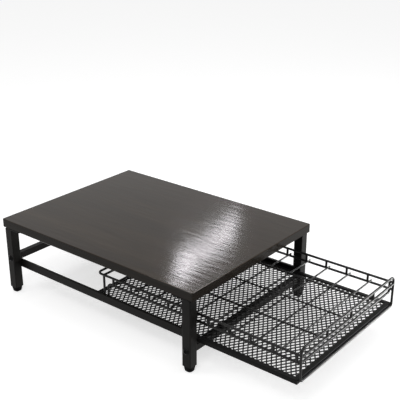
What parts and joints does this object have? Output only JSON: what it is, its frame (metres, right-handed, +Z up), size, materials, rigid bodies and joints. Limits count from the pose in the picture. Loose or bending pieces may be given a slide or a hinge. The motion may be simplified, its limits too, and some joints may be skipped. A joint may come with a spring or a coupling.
{
  "type": "coffee pod organizer",
  "caption": "Low stand for a coffee machine, a board on square steel legs, with a sliding wire drawer below it that holds coffee pods in rows.",
  "frame": {"origin": "on the floor, under the middle of the whole object with its drawer open", "axes": "+Z up, -Y towards the front, where the drawer comes out, +X across the board"},
  "size_m": [0.3362, 0.625, 0.145],
  "materials": {
    "board_laminate": "dark brown-black wood-grain laminate, satin",
    "stand_paint": "black satin powder coat",
    "wire_paint": "black satin powder coat on wire",
    "mesh_paint": "black powder coat on expanded metal",
    "bolt_steel": "black oxide",
    "hidden_steel": "zinc plated",
    "foot_plastic": "black moulded plastic, matte"
  },
  "bodies": {
    "stand": {"board_screws": "hidden_steel", "foot_front_left": "foot_plastic", "foot_front_right": "foot_plastic", "foot_rear_left": "foot_plastic", "foot_rear_right": "foot_plastic", "front_cross_rail": "stand_paint", "leg_front_left": "stand_paint", "leg_front_right": "stand_paint", "leg_plate_front_left": "stand_paint", "leg_plate_front_right": "stand_paint", "leg_plate_rear_left": "stand_paint", "leg_plate_rear_right": "stand_paint", "leg_rear_left": "stand_paint", "leg_rear_right": "stand_paint", "rail_bolts": "bolt_steel", "rail_plugs": "hidden_steel", "rear_cross_rail": "stand_paint", "runner_left": "stand_paint", "runner_right": "stand_paint", "top_board": "board_laminate"},
    "drawer": {"divider_wire_1": "wire_paint", "divider_wire_2": "wire_paint", "divider_wire_3": "wire_paint", "drawer_rim_front": "wire_paint", "drawer_rim_left": "wire_paint", "drawer_rim_rear": "wire_paint", "drawer_rim_right": "wire_paint", "front_bar": "wire_paint", "front_links": "wire_paint", "front_loop": "wire_paint", "front_lower_bar": "wire_paint", "mesh_floor": "mesh_paint", "rear_bar": "wire_paint", "rear_post_left": "wire_paint", "rear_post_right": "wire_paint", "row_rod_01": "wire_paint", "row_rod_02": "wire_paint", "row_rod_03": "wire_paint", "row_rod_04": "wire_paint", "row_rod_05": "wire_paint", "row_rod_06": "wire_paint", "row_rod_07": "wire_paint", "row_rod_08": "wire_paint", "row_rod_09": "wire_paint", "side_posts_left": "wire_paint", "side_posts_right": "wire_paint", "side_rod_left": "wire_paint", "side_rod_right": "wire_paint", "top_hoop": "wire_paint"}
  },
  "joints": [
    {"name": "drawer_slide", "type": "slide", "parent": "stand", "child": "drawer", "axis": [0, -1, 0], "range_m": [-0.1824, 0.1]}
  ]
}
